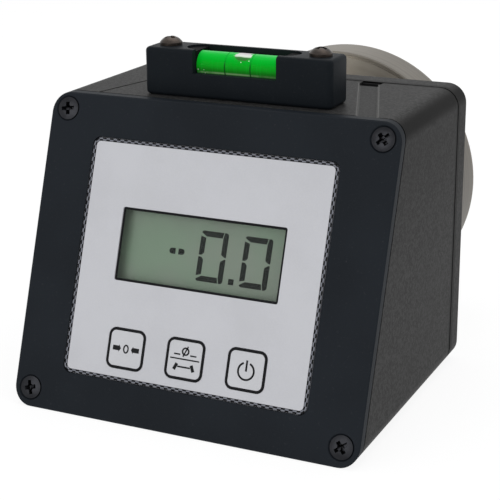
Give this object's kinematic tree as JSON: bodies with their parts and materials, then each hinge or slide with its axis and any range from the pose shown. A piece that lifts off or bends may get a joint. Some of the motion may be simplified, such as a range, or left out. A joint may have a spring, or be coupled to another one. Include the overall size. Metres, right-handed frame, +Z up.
{
  "type": "camber caster gauge",
  "caption": "Boxed digital angle gauge with a leaning key panel, a level on top and a round magnetic hub adapter on its back.",
  "frame": {"origin": "middle of the housing's flat bottom, on the surface that it stands on", "axes": "+Z up, +Y from the key panel to the back along the adapter's axis, +X to the right as seen from the panel"},
  "size_m": [0.096, 0.1295, 0.0919],
  "materials": {
    "housing_paint": "fine textured powder coat, near black",
    "panel_black": "smooth satin black plate",
    "gasket_rubber": "black rubber",
    "black_screw": "black oxide steel",
    "label_print": "pale grey printed film",
    "key_film": "pale grey printed key",
    "clear_window": "clear pane",
    "lcd_glass": "grey-green liquid-crystal glass",
    "holder_plastic": "black moulded plastic",
    "contact_rubber": "striped contact rubber",
    "circuit_board": "green solder mask",
    "brass_pillar": "plain turned brass",
    "steel_screw": "zinc plated steel",
    "switch_plastic": "black moulded plastic",
    "plunger_plastic": "buff moulded plastic",
    "sensor_can": "tinned steel can",
    "battery_wrap": "plain dark wrap",
    "clip_steel": "spring steel",
    "level_black": "satin black moulding",
    "vial_clear": "clear acrylic barrel",
    "vial_fluid": "bright green liquid",
    "bronze_screw": "dull bronze coloured plating",
    "adapter_metal": "machined, warm grey",
    "magnet_metal": "nickel plated magnet",
    "bush_bronze": "sintered bronze",
    "pin_steel": "ground steel",
    "spring_steel": "music wire"
  },
  "bodies": {
    "housing": {"housing_shell": "housing_paint", "front_panel": "panel_black", "panel_gasket": "gasket_rubber", "panel_screws": "black_screw", "keypad_overlay": "label_print", "display_window": "clear_window", "key_switches": "switch_plastic", "lcd_glass": "lcd_glass", "lcd_holder": "holder_plastic", "contact_strips": "contact_rubber", "main_board": "circuit_board", "board_standoffs": "brass_pillar", "board_screws": "steel_screw", "sensor_board": "circuit_board", "tilt_sensor": "sensor_can", "sensor_spacers": "holder_plastic", "sensor_screws": "steel_screw", "battery": "battery_wrap", "battery_clip": "clip_steel", "battery_connector": "holder_plastic", "rear_gasket": "gasket_rubber", "rear_cover": "housing_paint", "rear_cover_screws": "black_screw", "level_block": "level_black", "level_vial": "vial_clear", "vial_liquid": "vial_fluid", "vial_end_pads": "holder_plastic", "level_screws": "bronze_screw", "adapter_neck": "adapter_metal", "neck_screws": "steel_screw", "adapter_disc": "adapter_metal", "disc_screws": "steel_screw", "magnets": "magnet_metal", "pin_bush": "bush_bronze", "pin_spring": "spring_steel"},
    "zero_button": {"zero_key": "key_film", "zero_plunger": "plunger_plastic"},
    "mode_button": {"mode_key": "key_film", "mode_plunger": "plunger_plastic"},
    "power_button": {"power_key": "key_film", "power_plunger": "plunger_plastic"},
    "pin": {"centring_pin": "pin_steel"}
  },
  "joints": [
    {"name": "zero_press", "type": "slide", "parent": "housing", "child": "zero_button", "axis": [0, 0.9421, -0.3355], "range_m": [0, 0.0005], "stiffness_N_per_m": 1000, "springref_m": -0.0003},
    {"name": "mode_press", "type": "slide", "parent": "housing", "child": "mode_button", "axis": [0, 0.9421, -0.3355], "range_m": [0, 0.0005], "stiffness_N_per_m": 1000, "springref_m": -0.0003},
    {"name": "power_press", "type": "slide", "parent": "housing", "child": "power_button", "axis": [0, 0.9421, -0.3355], "range_m": [0, 0.0005], "stiffness_N_per_m": 1000, "springref_m": -0.0003},
    {"name": "pin_slide", "type": "slide", "parent": "housing", "child": "pin", "axis": [0, -1, 0], "range_m": [0, 0.009], "stiffness_N_per_m": 820, "springref_m": -0.0055, "deforming": ["pin_spring"]}
  ]
}
